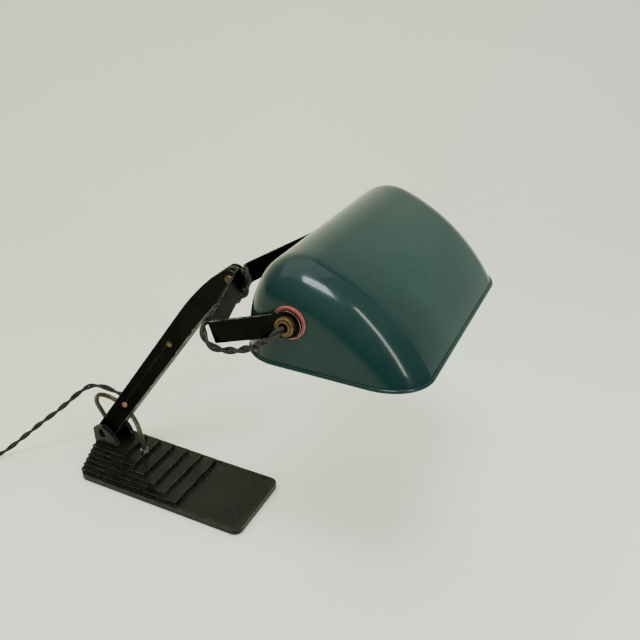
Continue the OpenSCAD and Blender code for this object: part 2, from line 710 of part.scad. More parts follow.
module flex_yoke() {
    color([0.1, 0.1, 0.1]) tube([for (p = curve(yoke_route, 2)) yoke_to_world(p)], flex_r);
}

// ---------- shade ----------

module loft(r, wall, low) {
    ys = stations(r, wall);
    rings = [for (s = ys) profile(s[1], low)];
    m = len(rings[0]);
    last = len(ys) - 1;
    points = [for (j = [0:last], p = rings[j]) [p[0], ys[j][0], p[1]]];
    side = [for (j = [0:last - 1], k = [0:m - 1])
        let (a = j * m + k, b = j * m + (k + 1) % m) each [[a, a + m, b], [b, a + m, b + m]]];
    polyhedron(points, concat([[for (k = [0:m - 1]) k]], side, [[for (k = [m - 1:-1:0]) last * m + k]]));
}

// Rolled edge round the opening
module rim_bead() {
    ys = stations(end_r, 0);
    n = len(ys);
    rows = [for (s = ys) let (p = profile(s[1], -rim_drop)) [p[len(p) - 1][0], p[0][0], s[0]]];
    loop = concat([for (r = rows) [r[0], r[2]]], [for (i = [n - 1:-1:0]) [rows[i][1], rows[i][2]]]);
    m = len(loop);
    sides = 8;
    ring = [for (i = [0:m - 1])
        let (t = unit(loop[(i + 1) % m] - loop[(i + m - 1) % m]), out = [t[1], -t[0]])
        for (k = [0:sides - 1]) let (c = bead_r * cos(360 * k / sides), s = bead_r * sin(360 * k / sides))
            [loop[i][0] + out[0] * c, loop[i][1] + out[1] * c, s - rim_drop]];
    polyhedron(ring, [for (i = [0:m - 1], k = [0:sides - 1])
        let (j = (i + 1) % m, a = i * sides + k, b = i * sides + (k + 1) % sides,
            c = j * sides + k, d = j * sides + (k + 1) % sides) each [[a, b, c], [b, d, c]]]);
}

module at_pivot() { translate([pivot_x, 0, pivot_z]) children(); }

module shade_shell() {
    color([0.15, 0.28, 0.27]) at_pivot() difference() {
        union() {
            difference() {
                loft(end_r, 0, -rim_drop);
                loft(end_r - shade_wall, shade_wall, -rim_drop - 1);
            }
            rim_bead();
        }
        bar_y(0, 0, -half_l - 2, -half_l + 10, nipple_r + snug);
        bar_y(0, 0, half_l - 10, half_l + 2, far_r + snug);
    }
}

module pivot_nipple() {
    color([0.74, 0.62, 0.36]) at_pivot() ring_y(0, 0, nipple_out, cap_y + cap_l - 4, nipple_r, nipple_bore);
}

module ring_nut() {
    y0 = -leg_out - gap - ring_nut_t;
    color([0.74, 0.62, 0.36]) at_pivot() difference() {
        bar_y(0, 0, y0, y0 + ring_nut_t, nipple_r + 2);
        bar_y(0, 0, y0 - 1, y0 + ring_nut_t + 1, nipple_r + snug);
        for (a = [0:15:345]) rotate([0, a, 0]) translate([nipple_r + 2.2, y0 - 1, -0.3])
            cube([1, ring_nut_t + 2, 0.6], center = false);
    }
}

module lock_nut() {
    color([0.7, 0.6, 0.4]) at_pivot() hex_y(0, 0, inside_y, inside_y + lock_t, nipple_r + 3, nipple_r + snug);
}

module fibre_washers() {
    color([0.55, 0.2, 0.16]) at_pivot() {
        ring_y(0, 0, -half_l - fibre_t, -half_l, 12, nipple_r + snug);
        ring_y(0, 0, half_l, half_l + fibre_t, 12, far_r + snug);
    }
}

module far_screw() {
    color([0.72, 0.6, 0.36]) at_pivot() {
        bar_y(0, 0, half_l - 8, leg_out + gap + e, far_r);
        dome_y(0, 0, leg_out + gap, far_r + 3, 3, true);
    }
}

module far_nut() {
    color([0.7, 0.6, 0.4]) at_pivot()
        hex_y(0, 0, half_l - shade_wall - 4, half_l - shade_wall, far_r + 2.2, far_r + snug);
}

// ---------- lampholder and bulb ----------

module holder_cap() {
    color([0.72, 0.6, 0.36]) at_pivot() difference() {
        union() {
            bar_y(0, 0, cap_y, cap_y + 6, nipple_r + 3);
            bar_y(0, 0, cap_y + 4, core_y, shell_r - 1);
        }
        bar_y(0, 0, cap_y - 1, cap_y + cap_l - 4, nipple_r + snug);
        bar_y(0, 0, cap_y + cap_l - 4.01, core_y + 1, shell_r - 2.2);
    }
}

module holder_core() {
    color([0.9, 0.88, 0.82]) at_pivot() difference() {
        bar_y(0, 0, core_y, core_y + core_l, shell_r - 1.4);
        bar_y(-7, 6, core_y - 1, core_y + core_l + 1, 1.6);
        bar_y(7, 6, core_y - 1, core_y + core_l + 1, 1.6);
        bar_hole(bar_r + running);
    }
}

module bar_hole(r) {
    translate([0, bar_y, 0]) rotate([0, 90, 0]) cylinder(r = r, h = 80, center = true);
}

module holder_shell() {
    color([0.74, 0.62, 0.38]) at_pivot() difference() {
        union() {
            ring_y(0, 0, core_y - 4, core_y + shell_l, shell_r, shell_r - 1);
            ring_y(0, 0, core_y + shell_l - 6, core_y + shell_l - 2, shell_r + 2, shell_r - 1);
            ring_y(0, 0, core_y + core_l, core_y + core_l + 1.6, shell_r - 0.5, 9);
            ring_y(0, 0, core_y + core_l, core_y + shell_l - 4, thread_r + 0.8, thread_r + snug);
        }
        bar_hole(bar_r + running);
    }
}

module holder_contacts() {
    color([0.75, 0.6, 0.3]) at_pivot() {
        bar_y(-7, 6, core_y - 3, core_y + core_l, 1.5);
        bar_y(7, 6, core_y - 3, core_y + core_l, 1.5);
        translate([-6, core_y + core_l, -2]) cube([7.5, 0.9, 7]);
        bar_y(0, 0, core_y + core_l, core_y + core_l + 2.4, 1.8);
    }
}

module bulb_cap() {
    color([0.78, 0.76, 0.7]) at_pivot() difference() {
        bar_y(0, 0, thread_y + 2, thread_y + 26, thread_r);
        bar_y(0, 0, thread_y + 3, thread_y + 27, thread_r - 0.8);
        bar_y(0, 0, thread_y, thread_y + 10, 5);
    }
}

module bulb_contact() {
    color([0.2, 0.2, 0.22]) at_pivot() {
        bar_y(0, 0, thread_y + 1, thread_y + 6, 4.9);
        bar_y(0, 0, thread_y - 0.6, thread_y + 1, 3);
    }
}

module bulb_glass() {
    neck_y = thread_y + 20;
    ball_y = neck_y + bulb_l - bulb_d / 2 - 20;
    color([0.95, 0.95, 0.9, 0.5]) at_pivot() translate([0, neck_y, 0]) rotate([-90, 0, 0])
        rotate_extrude() difference() {
            bulb_outline(ball_y - neck_y, bulb_d / 2, thread_r - 0.8 - snug);
            bulb_outline(ball_y - neck_y, bulb_d / 2 - 1, thread_r - 1.8);
        }
}

module bulb_outline(ball, r, neck) {
    touch = 0.64 * r;
    intersection() {
        union() {
            translate([0, ball]) circle(r = r);
            polygon([[0, 0], [neck, 0], [neck, 10], [r * 0.77, ball - touch], [0, ball - touch]]);
            translate([0, ball - touch]) square([r * 0.77, touch]);
        }
        square([r + 1, ball + r + 1]);
    }
}

// Switch bar through the lampholder; it slides along X
module push_bar() {
    half = shell_r + bar_out;
    color([0.12, 0.1, 0.09]) at_pivot() translate([-bar_travel / 2, bar_y, 0]) rotate([0, 90, 0]) {
        cylinder(r = bar_r, h = 2 * half, center = true);
        for (side = [-1, 1]) translate([0, 0, side * half]) sphere(r = bar_r);
    }
}

// ---------- free cord, coil and plug ----------

module cord_tube() { color([0.1, 0.1, 0.1]) tube(cord_route, flex_r); }

module cord_coil() {
    w = coil_rows * flex_r;
    color([0.11, 0.11, 0.11]) translate([coil_x, coil_y, coil_z]) rotate_extrude()
        polygon([[coil_mid - w, 0], [coil_mid + w, 0], [coil_mid + w, flex_d],
            [coil_mid + w - 1.5 * flex_d, coil_h], [coil_mid - w + flex_r, coil_h],
            [coil_mid - w, flex_d]]);
}

module cord_tie() {
    w = coil_rows * flex_r;
    tie_t = 0.9;
    color([0.3, 0.24, 0.16]) translate([coil_x, coil_y - coil_mid, coil_z]) difference() {
        translate([-4, -w - tie_t, -tie_t]) cube([8, 2 * w + 2 * tie_t, coil_h + 2 * tie_t]);
        translate([-5, -w - 0.1, -0.1]) cube([10, 2 * w + 0.2, coil_h + 0.2]);
    }
}

module plug_lead() { color([0.1, 0.1, 0.1]) tube(lead_route, flex_r); }

module plug_body() {
    color([0.07, 0.06, 0.06]) translate([lead_route[0][0], plug_y, plug_d / 2 + 0.2]) rotate([90, 0, 0])
        difference() {
            rotate_extrude() polygon([[0, 0], [plug_d / 2 - 9, 0], [plug_d / 2 - 7, 2],
                [plug_d / 2 - 4, 14], [plug_d / 2 - 1, 22], [plug_d / 2, 24], [plug_d / 2, plug_l], [0, plug_l]]);
            for (side = [-1, 1]) translate([side * pin_pitch / 2, 0, plug_l - 12]) cylinder(r = plug_pin_r, h = 20);
            translate([0, 0, -1]) cylinder(r = flex_r + snug, h = 9);
        }
}

module plug_pins() {
    color([0.76, 0.66, 0.4]) for (side = [-1, 1])
        translate([lead_route[0][0] + side * pin_pitch / 2, plug_y - plug_l + 12, plug_d / 2 + 0.2])
            rotate([90, 0, 0]) {
                cylinder(r = plug_pin_r, h = 12 + 17);
                translate([0, 0, 12 + 17]) sphere(r = plug_pin_r);
            }
}

module plug_screw() {
    color([0.7, 0.6, 0.4]) translate([lead_route[0][0], plug_y - plug_l, plug_d / 2 + 0.2])
        rotate([90, 0, 0]) cylinder(r = 3, h = 1.2);
}

foot_casting();
base_felt();
guide_rod();
rod_nut();
rod_collar();
hinge_pin();
hinge_nut();
hinge_washers();
eye_spacers();
arm_channel();
arm_rivet();
clamp_jaws();
jaw_screw();
jaw_nut();
elbow_screw();
elbow_nut();
elbow_washers();
flex_clips();
flex_arm();
flex_elbow();
yoke_strip();
knuckle();
knuckle_rivets();
flex_yoke();
shade_shell();
pivot_nipple();
ring_nut();
lock_nut();
fibre_washers();
far_screw();
far_nut();
holder_cap();
holder_shell();
holder_core();
holder_contacts();
bulb_cap();
bulb_contact();
bulb_glass();
push_bar();
cord_tube();
cord_coil();
cord_tie();
plug_lead();
plug_body();
plug_pins();
plug_screw();
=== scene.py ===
import bpy, bmesh, json, math
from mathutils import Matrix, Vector


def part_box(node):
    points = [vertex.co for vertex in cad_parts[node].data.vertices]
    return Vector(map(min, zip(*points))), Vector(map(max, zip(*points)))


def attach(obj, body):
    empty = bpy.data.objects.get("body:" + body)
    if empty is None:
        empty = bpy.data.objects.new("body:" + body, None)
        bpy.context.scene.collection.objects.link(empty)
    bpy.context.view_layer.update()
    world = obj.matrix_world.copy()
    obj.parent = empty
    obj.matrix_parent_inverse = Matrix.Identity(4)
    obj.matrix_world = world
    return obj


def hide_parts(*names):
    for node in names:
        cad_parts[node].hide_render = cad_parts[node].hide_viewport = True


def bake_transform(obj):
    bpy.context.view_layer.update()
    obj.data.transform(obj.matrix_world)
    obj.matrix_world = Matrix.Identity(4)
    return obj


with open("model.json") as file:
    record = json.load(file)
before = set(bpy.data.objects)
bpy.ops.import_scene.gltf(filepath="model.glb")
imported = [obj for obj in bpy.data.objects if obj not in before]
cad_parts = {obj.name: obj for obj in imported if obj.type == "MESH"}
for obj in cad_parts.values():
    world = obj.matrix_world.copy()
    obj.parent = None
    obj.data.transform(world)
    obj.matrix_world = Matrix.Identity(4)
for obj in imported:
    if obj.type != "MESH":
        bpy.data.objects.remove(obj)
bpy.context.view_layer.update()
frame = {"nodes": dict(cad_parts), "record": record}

NODES = frame["nodes"]


def mid(node):
    low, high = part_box(node)
    return (low + high) / 2


# ---------- camera ----------
CAMERA_TURN = math.radians(25.345)
cam = bpy.data.objects.new("camera", bpy.data.cameras.new("camera"))
bpy.context.collection.objects.link(cam)
cam.location = (0.39096, -0.47548, 0.52291)
cam.rotation_euler = (math.radians(61.676), math.radians(-0.420), CAMERA_TURN)
cam.data.lens = 39.946
cam.data.sensor_width = 36
bpy.context.scene.camera = cam


# ---------- materials ----------
class Paint:
    """One node material: a Principled shader and a few helpers to feed it."""

    def __init__(self, name, **values):
        self.m = bpy.data.materials.new(name)
        self.m.use_nodes = True
        self.t = self.m.node_tree
        self.s = self.t.nodes["Principled BSDF"]
        self.p = self.node("ShaderNodeTexCoord").outputs["Object"]
        for key, value in values.items():
            self.s.inputs[key.replace("_", " ")].default_value = value

    def node(self, kind, **inputs):
        n = self.t.nodes.new(kind)
        for key, value in inputs.items():
            self.put(n.inputs[key.replace("_", " ")], value)
        return n

    def put(self, socket, value):
        if isinstance(value, bpy.types.NodeSocket):
            self.t.links.new(value, socket)
        else:
            socket.default_value = value

    def noise(self, scale, detail=3.0, rough=0.5):
        n = self.node("ShaderNodeTexNoise", Vector=self.p, Scale=scale, Detail=detail, Roughness=rough)
        return n.outputs["Fac"]

    def ramp(self, fac, low, high, a=0.0, b=1.0):
        n = self.node("ShaderNodeMapRange", Value=fac)
        for key, value in (("From Min", low), ("From Max", high), ("To Min", a), ("To Max", b)):
            n.inputs[key].default_value = value
        return n.outputs["Result"]

    def mix(self, fac, a, b):
        n = self.node("ShaderNodeMix")
        n.data_type = "RGBA"
        self.put(n.inputs[0], fac)
        for socket, value in ((n.inputs[6], a), (n.inputs[7], b)):
            self.put(socket, value if isinstance(value, bpy.types.NodeSocket) else (*value, 1.0))
        return n.outputs[2]

    def maths(self, op, a, b):
        n = self.node("ShaderNodeMath")
        n.operation = op
        self.put(n.inputs[0], a)
        self.put(n.inputs[1], b)
        return n.outputs[0]

    def edges(self, radius, low, high):
        """1 on the outer edges, broken up by noise, 0 elsewhere."""
        soft = self.node("ShaderNodeBevel")
        soft.samples = 4
        soft.inputs["Radius"].default_value = radius
        hard = self.node("ShaderNodeNewGeometry")
        dot = self.node("ShaderNodeVectorMath")
        dot.operation = "DOT_PRODUCT"
        self.put(dot.inputs[0], soft.outputs["Normal"])
        self.put(dot.inputs[1], hard.outputs["Normal"])
        bent = self.ramp(self.maths("SUBTRACT", 1.0, dot.outputs["Value"]), low, high)
        return self.maths("MULTIPLY", bent, self.ramp(self.noise(160.0, 4.0), 0.38, 0.62))

    def colour(self, value):
        self.put(self.s.inputs["Base Color"], value)

    def rough(self, value):
        self.put(self.s.inputs["Roughness"], value)

    def metal(self, value):
        self.put(self.s.inputs["Metallic"], value)

    def bump(self, height, strength, distance):
        n = self.node("ShaderNodeBump", Height=height, Strength=strength, Distance=distance)
        self.put(self.s.inputs["Normal"], n.outputs["Normal"])


def enamel(name, dark, light, thin):
    """Glossy enamel: slow clouds, small flecks where it is thin, and a slightly rippled surface."""
    q = Paint(name, Specular_IOR_Level=0.12, Coat_Weight=0.29, Coat_Roughness=0.05, Coat_IOR=1.38)
    cloud = q.ramp(q.noise(9.0, 4.0), 0.35, 0.68)
    fleck = q.ramp(q.noise(900.0, 2.0), 0.66, 0.74)
    base = q.mix(cloud, dark, light)
    q.colour(q.mix(q.maths("MULTIPLY", fleck, 0.35), base, thin))
    q.rough(q.ramp(q.noise(38.0, 5.0), 0.3, 0.7, 0.13, 0.25))
    wave = q.maths("MULTIPLY", q.noise(22.0, 2.0), 0.85)
    peel = q.maths("MULTIPLY", q.noise(260.0, 2.0), 0.12)
    q.bump(q.maths("ADD", wave, peel), 0.16, 0.0012)
    return q.m


def worn_black(name, base, brown, wear, gloss, radius, low, high, **shader):
    """Black paint gone brown in places, with bare metal on the outer edges."""
    q = Paint(name, IOR=1.36, **shader)
    cloud = q.ramp(q.noise(26.0, 5.0), 0.36, 0.7)
    paint = q.mix(q.maths("MULTIPLY", cloud, 0.55), base, brown)
    edge = q.edges(radius, low, high)
    q.colour(q.mix(edge, paint, wear))
    if "Metallic" not in shader:
        q.metal(q.maths("MULTIPLY", edge, 0.55))
    q.rough(q.ramp(q.noise(70.0, 5.0), 0.3, 0.7, gloss - 0.07, gloss + 0.12))
    q.bump(q.noise(110.0, 2.0), 0.05, 0.0004)
    return q.m


def old_metal(name, bright, dull, rough):
    """Bare metal with dull stains."""
    q = Paint(name)
    stain = q.ramp(q.noise(95.0, 6.0, 0.62), 0.4, 0.66)
    q.colour(q.mix(stain, bright, dull))
    q.metal(q.ramp(stain, 0.0, 1.0, 1.0, 0.72))
    q.rough(q.ramp(stain, 0.0, 1.0, rough, rough + 0.24))
    q.bump(q.noise(840.0), 0.12, 0.0003)
    return q.m


def fibrous(name, a, b, scale, rough, strength, distance):
    """Felt, cloth tape and pressed fibre."""
    q = Paint(name, Sheen_Weight=0.25, Sheen_Roughness=0.5)
    q.colour(q.mix(q.ramp(q.noise(scale, 5.0, 0.65), 0.35, 0.66), a, b))
    q.rough(q.ramp(q.noise(scale * 0.4, 3.0), 0.3, 0.7, rough - 0.06, rough + 0.06))
    q.bump(q.noise(scale * 1.7, 4.0, 0.6), strength, distance)
    return q.m


def braid(name):
    """The woven black cover of the flex."""
    q = Paint(name, Specular_IOR_Level=0.25, Sheen_Weight=0.03, Sheen_Roughness=0.4)
    cells = q.node("ShaderNodeTexVoronoi", Vector=q.p, Scale=2300.0).outputs["Distance"]
    q.colour(q.mix(q.ramp(q.noise(120.0, 4.0), 0.4, 0.68), (0.006, 0.006, 0.006), (0.022, 0.017, 0.013)))
    q.rough(q.ramp(cells, 0.0, 0.7, 0.38, 0.6))
    q.bump(cells, 0.35, 0.0003)
    return q.m


def mottled(name, a, b, spots, low, high, smear, rough, grain, bump, **shader):
    """A smooth moulded or blown material: two close colours in spots."""
    q = Paint(name, **shader)
    q.colour(q.mix(q.ramp(q.noise(*spots), low, high), a, b))
    q.rough(q.ramp(q.noise(smear), 0.3, 0.7, *rough))
    q.bump(q.noise(grain), *bump)
    return q.m


MATS = {
    "teal_enamel": enamel("teal_enamel", (0.0036, 0.019, 0.018), (0.010, 0.034, 0.028), (0.04, 0.08, 0.07)),
    "white_enamel": enamel("white_enamel", (0.70, 0.70, 0.65), (0.80, 0.79, 0.74), (0.45, 0.38, 0.28)),
    "black_iron": worn_black(
        "black_iron", (0.005, 0.006, 0.005), (0.013, 0.011, 0.008), (0.15, 0.12, 0.085), gloss=0.24,
        radius=0.0009, low=0.014, high=0.112, Specular_IOR_Level=0.25),
    "black_steel": worn_black(
        "black_steel", (0.005, 0.0055, 0.005), (0.014, 0.011, 0.008), (0.55, 0.50, 0.43), gloss=0.2,
        radius=0.0008, low=0.008, high=0.064, Specular_IOR_Level=0.12, Metallic=0.8,
        Specular_Tint=(0.1, 0.1, 0.1, 1)),
    "steel_rod": old_metal("steel_rod", (0.10, 0.086, 0.065), (0.032, 0.025, 0.018), 0.24),
    "steel": old_metal("steel", (0.42, 0.40, 0.36), (0.14, 0.11, 0.08), 0.28),
    "brass": old_metal("brass", (0.19, 0.12, 0.05), (0.04, 0.027, 0.014), 0.24),
    "copper_screw": old_metal("copper_screw", (0.36, 0.17, 0.10), (0.12, 0.06, 0.035), 0.28),
    "fibre": fibrous("fibre", (0.30, 0.03, 0.022), (0.16, 0.022, 0.016), 420.0, 0.6, 0.2, 0.0002),
    "felt": fibrous("felt", (0.04, 0.09, 0.05), (0.09, 0.13, 0.08), 1500.0, 0.93, 0.7, 0.0006),
    "tie": fibrous("tie", (0.32, 0.25, 0.16), (0.2, 0.15, 0.1), 1100.0, 0.88, 0.6, 0.0004),
    "flex": braid("flex"),
    "bulb_glass": mottled(
        "bulb_glass", (0.97, 0.97, 0.95), (0.9, 0.9, 0.86), (40.0,), 0.4, 0.7, 60.0, (0.12, 0.22),
        50.0, (0.03, 0.0004), Transmission_Weight=0.93, IOR=1.45),
    "porcelain": mottled(
        "porcelain", (0.82, 0.80, 0.74), (0.56, 0.47, 0.36), (120.0, 5.0), 0.52, 0.72, 50.0, (0.16, 0.3),
        180.0, (0.08, 0.0004), Coat_Weight=0.5, Coat_Roughness=0.08),
    "bakelite": mottled(
        "bakelite", (0.018, 0.01, 0.007), (0.07, 0.028, 0.014), (75.0, 6.0, 0.6), 0.42, 0.66, 60.0,
        (0.2, 0.34), 420.0, (0.12, 0.0003), Coat_Weight=0.3, Coat_Roughness=0.12),
}


# ---------- mesh helpers ----------
def add_mesh(name, verts, faces, mats, index=None):
    mesh = bpy.data.meshes.new(name)
    mesh.from_pydata(verts, [], faces)
    for m in mats:
        mesh.materials.append(MATS[m])
    for i, poly in enumerate(mesh.polygons):
        poly.use_smooth = True
        if index:
            poly.material_index = index[i]
    mesh.update()
    o = bpy.data.objects.new(name, mesh)
    bpy.context.collection.objects.link(o)
    return o


def smooth_line(points, step):
    """A Catmull-Rom curve through points, then spaced evenly."""
    p = [Vector(x) for x in points]
    p = [2 * p[0] - p[1]] + p + [2 * p[-1] - p[-2]]
    fine = []
    for i in range(1, len(p) - 2):
        a, b, c, d = p[i - 1:i + 3]
        n = max(2, int((c - b).length / step * 4))
        for k in range(n):
            t = k / n
            low_terms = 2 * b + (c - a) * t + (2 * a - 5 * b + 4 * c - d) * t * t
            fine.append(0.5 * (low_terms + (3 * b - a - 3 * c + d) * t ** 3))
    fine.append(p[-2])
    return even(fine, step)


def even(fine, step):
    """Points at equal distances along a fine line."""
    total = sum((b - a).length for a, b in zip(fine, fine[1:]))
    n = max(2, round(total / step))
    out, gone, want = [fine[0]], 0.0, total / n
    for a, b in zip(fine, fine[1:]):
        long = (b - a).length
        while gone + long >= want * len(out) - 1e-12 and len(out) < n and long > 0:
            out.append(a + (b - a) * ((want * len(out) - gone) / long))
        gone += long
    return out + [fine[-1]]


def length(line):
    return sum((b - a).length for a, b in zip(line, line[1:]))


def frames(line):
    """A frame carried along the line without twisting."""
    out, side = [], None
    for i in range(len(line)):
        t = (line[min(i + 1, len(line) - 1)] - line[max(i - 1, 0)]).normalized()
        if side is None:
            side = t.cross(Vector((0, 0, 1)) if abs(t.z) < 0.9 else Vector((1, 0, 0))).normalized()
        side = (side - t * side.dot(t)).normalized()
        out.append((side, t.cross(side)))
    return out


STRAND = 0.00145  # the radius of one strand of the flex
LOOSE_PITCH, TIGHT_PITCH = 0.044, 0.025  # the length of one full turn of the strands
CORD_STEP, HELD_STEP = 0.0018, 0.0013  # the distance between points along the line


def twist(line, pitch):
    """The angle of the two strands at each point; pitch(i) is the length of a full turn there."""
    step, out, g = length(line) / (len(line) - 1), [], 0.0
    for i in range(len(line)):
        out.append(g)
        g += 2 * math.pi * step / pitch(i)
    return out


def tube_faces(base, rings, sides):
    """The wall and both ends of a tube whose rings of vertices start at base."""
    faces = []
    for i in range(rings - 1):
        for k in range(sides):
            a, b = base + i * sides + k, base + i * sides + (k + 1) % sides
            faces.append((a, b, b + sides, a + sides))
    faces.append(tuple(base + k for k in reversed(range(sides))))
    faces.append(tuple(base + (rings - 1) * sides + k for k in range(sides)))
    return faces


def tube(line, r, sides, base=0):
    verts = []
    for (u, v), c in zip(frames(line), line):
        for k in range(sides):
            a = 2 * math.pi * k / sides
            verts.append(c + r * (math.cos(a) * u + math.sin(a) * v))
    return verts, tube_faces(base, len(line), sides)


def twisted(name, line, around, angles, first, last, sides=10):
    """Two strands wound round each other along line[first..last]."""
    verts, faces = [], []
    for strand in (0, 1):
        centre = []
        for i in range(first, last + 1):
            g = angles[i] + math.pi * strand
            u, v = around[i]
            centre.append(line[i] + STRAND * (math.cos(g) * u + math.sin(g) * v))
        strand_verts, strand_faces = tube(centre, STRAND, sides, len(verts))
        verts += strand_verts
        faces += strand_faces
    return add_mesh(name, verts, faces, ["flex"])


def m(points):
    """Millimetres to metres."""
    return [tuple(c / 1000 for c in p) for p in points]


# ---------- the free cord: from the arm's outlet to the plug ----------
route = m([
    (-64.2, 0, 95.9), (-72, -1, 98), (-80, -3, 101), (-88, -6, 103), (-96, -9, 102), (-104, -12, 97),
    (-113, -16, 89), (-124, -20, 78), (-139, -25, 64), (-155, -32, 50), (-170, -38, 36),
    (-182, -43, 25), (-194, -49, 14), (-205, -55, 6), (-217, -62, 3.2), (-234, -74, 3.2), (-250, -85, 3.2)])
# The coil, in degrees round its middle and in millimetres: a lower layer wound inwards, a short
# climb, and an upper layer wound outwards to where the lead to the plug leaves it.
COIL_X, COIL_Y = -225, -122
COIL_START, COIL_END, COIL_POINTS = 124.04, 2701.5, 216
LOWER_END, CLIMB_START, CLIMB_END = 1564, 1814, 1904
OUTER_R, INNER_R, UPPER_R = 44.65, 21.7, 24.6
ENTRY_Z, LOWER_Z, UPPER_Z = 3.2, 4.1, 9.1
ENTRY_RISE, CLIMB_OUT, CLIMB_RISE, UPPER_OUT = 0.9, 2.9, 5.0, 12.4
turns = []
for i in range(1, COIL_POINTS):
    a = COIL_START + (COIL_END - COIL_START) * i / COIL_POINTS
    if a < LOWER_END:
        r = OUTER_R - (OUTER_R - INNER_R) * (a - COIL_START) / (4 * 360)
        z = ENTRY_Z + ENTRY_RISE * min(1, (a - COIL_START) / 60)
    elif a < CLIMB_START:
        r, z = INNER_R, LOWER_Z
    elif a < CLIMB_END:
        t = (a - CLIMB_START) / (CLIMB_END - CLIMB_START)
        t = t * t * (3 - 2 * t)
        r, z = INNER_R + CLIMB_OUT * t, LOWER_Z + CLIMB_RISE * t
    else:
        r, z = UPPER_R + UPPER_OUT * (a - CLIMB_END) / (COIL_END - CLIMB_END), UPPER_Z
    turns.append((COIL_X + r * math.cos(math.radians(a)), COIL_Y + r * math.sin(math.radians(a)), z))
lead = m([
    (-262, -123, 9.1), (-262, -134, 9.3), (-262, -144, 10.8), (-262, -153, 13.3), (-262, -161, 14.9),
    (-262, -168, 15.2), (-262, -176, 15.2)])
line = smooth_line(route + m(turns) + lead, CORD_STEP)
winding = twist(line, lambda i: LOOSE_PITCH)
cord = twisted("free_cord", line, frames(line), winding, 0, len(line) - 1, sides=8)
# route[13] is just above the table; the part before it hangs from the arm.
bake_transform(cord)
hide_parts("cord_tube", "cord_coil", "plug_lead")

# ---------- the flex held by the arm and the yoke ----------
arm_run = m([
    (-63.3898, 0, 95.685), (-61.2987, 0, 95.6339), (-59.2305, 0, 95.9467), (-57.248, 0, 96.6139),
    (-55.4115, 0, 97.6152), (-53.7768, 0, 98.9202), (-52.3935, 0, 100.489), (-45.3219, 0, 110.081),
    (-31.1788, 0, 129.264), (-17.0356, 0, 148.447), (-2.89245, 0, 167.631), (11.2507, 0, 186.814),
    (25.3938, 0, 205.997), (32.4654, 0, 215.589), (45.0472, 0, 231.463), (58.7056, 0, 246.421)])
elbow_run = m([(68.737, 0, 256.783), (74.6461, 0, 262.191), (79.721, 0, 267.038), (85.3002, 0, 269.707)])
yoke_run = m([
    (90.8539, 0, 270.281), (94.5384, -0.2, 271.867), (98.1407, -1, 272.155), (101.207, -3, 269.086),
    (102.483, -5, 264.766), (103.354, -8, 259.778), (102.955, -12, 255.41), (102.211, -18, 253.885),
    (102.204, -26, 254.517), (105.224, -38, 260.422), (108.927, -52, 266.985), (113.281, -66, 271.657),
    (117.96, -80, 275.384), (123.726, -96, 278.427), (127.915, -107, 279.869), (131.033, -115, 278.299),
    (134.721, -118, 273.117), (140.645, -118, 268.811), (150.51, -118, 269.035), (159.345, -118, 271.02),
    (166.779, -118, 274.002), (174.768, -119, 278.445), (182.301, -122, 284.212), (188.693, -126, 290.22),
    (193.862, -127.5, 295.173), (196.839, -125, 297.891), (197.466, -120.9, 298.529)])
held = smooth_line(arm_run + elbow_run + yoke_run, HELD_STEP)
around = frames(held)


def nearest(point):
    return min(range(len(held)), key=lambda i: (held[i] - Vector(point)).length)


cut_a, cut_b = nearest(arm_run[-1]), nearest(yoke_run[0])
angles = twist(held, lambda i: LOOSE_PITCH if i < cut_b else TIGHT_PITCH)
piece = twisted("arm_flex", held, around, angles, 0, cut_a)
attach(piece, "arm")
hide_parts("flex_arm")
piece = twisted("elbow_flex", held, around, angles, cut_a, cut_b)
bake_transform(piece)
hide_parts("flex_elbow")
piece = twisted("yoke_flex", held, around, angles, cut_b, len(held) - 1)
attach(piece, "yoke")
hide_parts("flex_yoke")

# ---------- the hood ----------
px, pz = mid("pivot_nipple").x * 1000, mid("pivot_nipple").z * 1000
HALF, END_R, WALL = 110.0, 29.7, 1.0  # half the length, the ends' radius, the sheet's thickness
BACK, RIM, BEAD = 43.8, -35.7, 1.6  # behind and below the pivot, and the rolled rim's radius
BACK_C, BACK_R = (36.4, -20.8), 80.2
TOP_C, TOP_R = (-2.99117, 3.91003), 33.7
FRONT_C, FRONT_R = (-45.8463, -113.833), 159.0
BACK_END, TOP_END = -57.9, 20  # where the arcs meet, in degrees from straight up


def profile(inset):
    """The hood's outline from its back rim over the top to its front rim, moved inwards by inset."""
    pts = [(inset - BACK, RIM + (BACK_C[1] - RIM) * i / 6) for i in range(6)]
    ends = math.degrees(math.acos((RIM - FRONT_C[1]) / (FRONT_R - inset)))
    for (cx, cz), r, a, b, n, first in (
            (BACK_C, BACK_R - inset, -90, BACK_END, 14, 0), (TOP_C, TOP_R - inset, BACK_END, TOP_END, 30, 1),
            (FRONT_C, FRONT_R - inset, TOP_END, ends, 40, 1)):
        for i in range(first, n + 1):
            t = math.radians(a + (b - a) * i / n)
            pts.append((cx + r * math.sin(t), cz + r * math.cos(t)))
    return pts


def stations(r, wall):
    """The sections along the hood: where each is and how far it is moved inwards."""
    near, n, spans = [], 16, 24
    for i in range(n + 1):
        t = math.radians(90 * (1 - i / n))
        near.append((HALF - END_R + r * math.sin(t), wall + r * (1 - math.cos(t))))
    flat = [((HALF - END_R) * (1 - 2 * i / spans), wall) for i in range(1, spans)]
    return [(-y, s) for y, s in near] + [(-y, s) for y, s in flat] + [near[i] for i in range(n, -1, -1)]


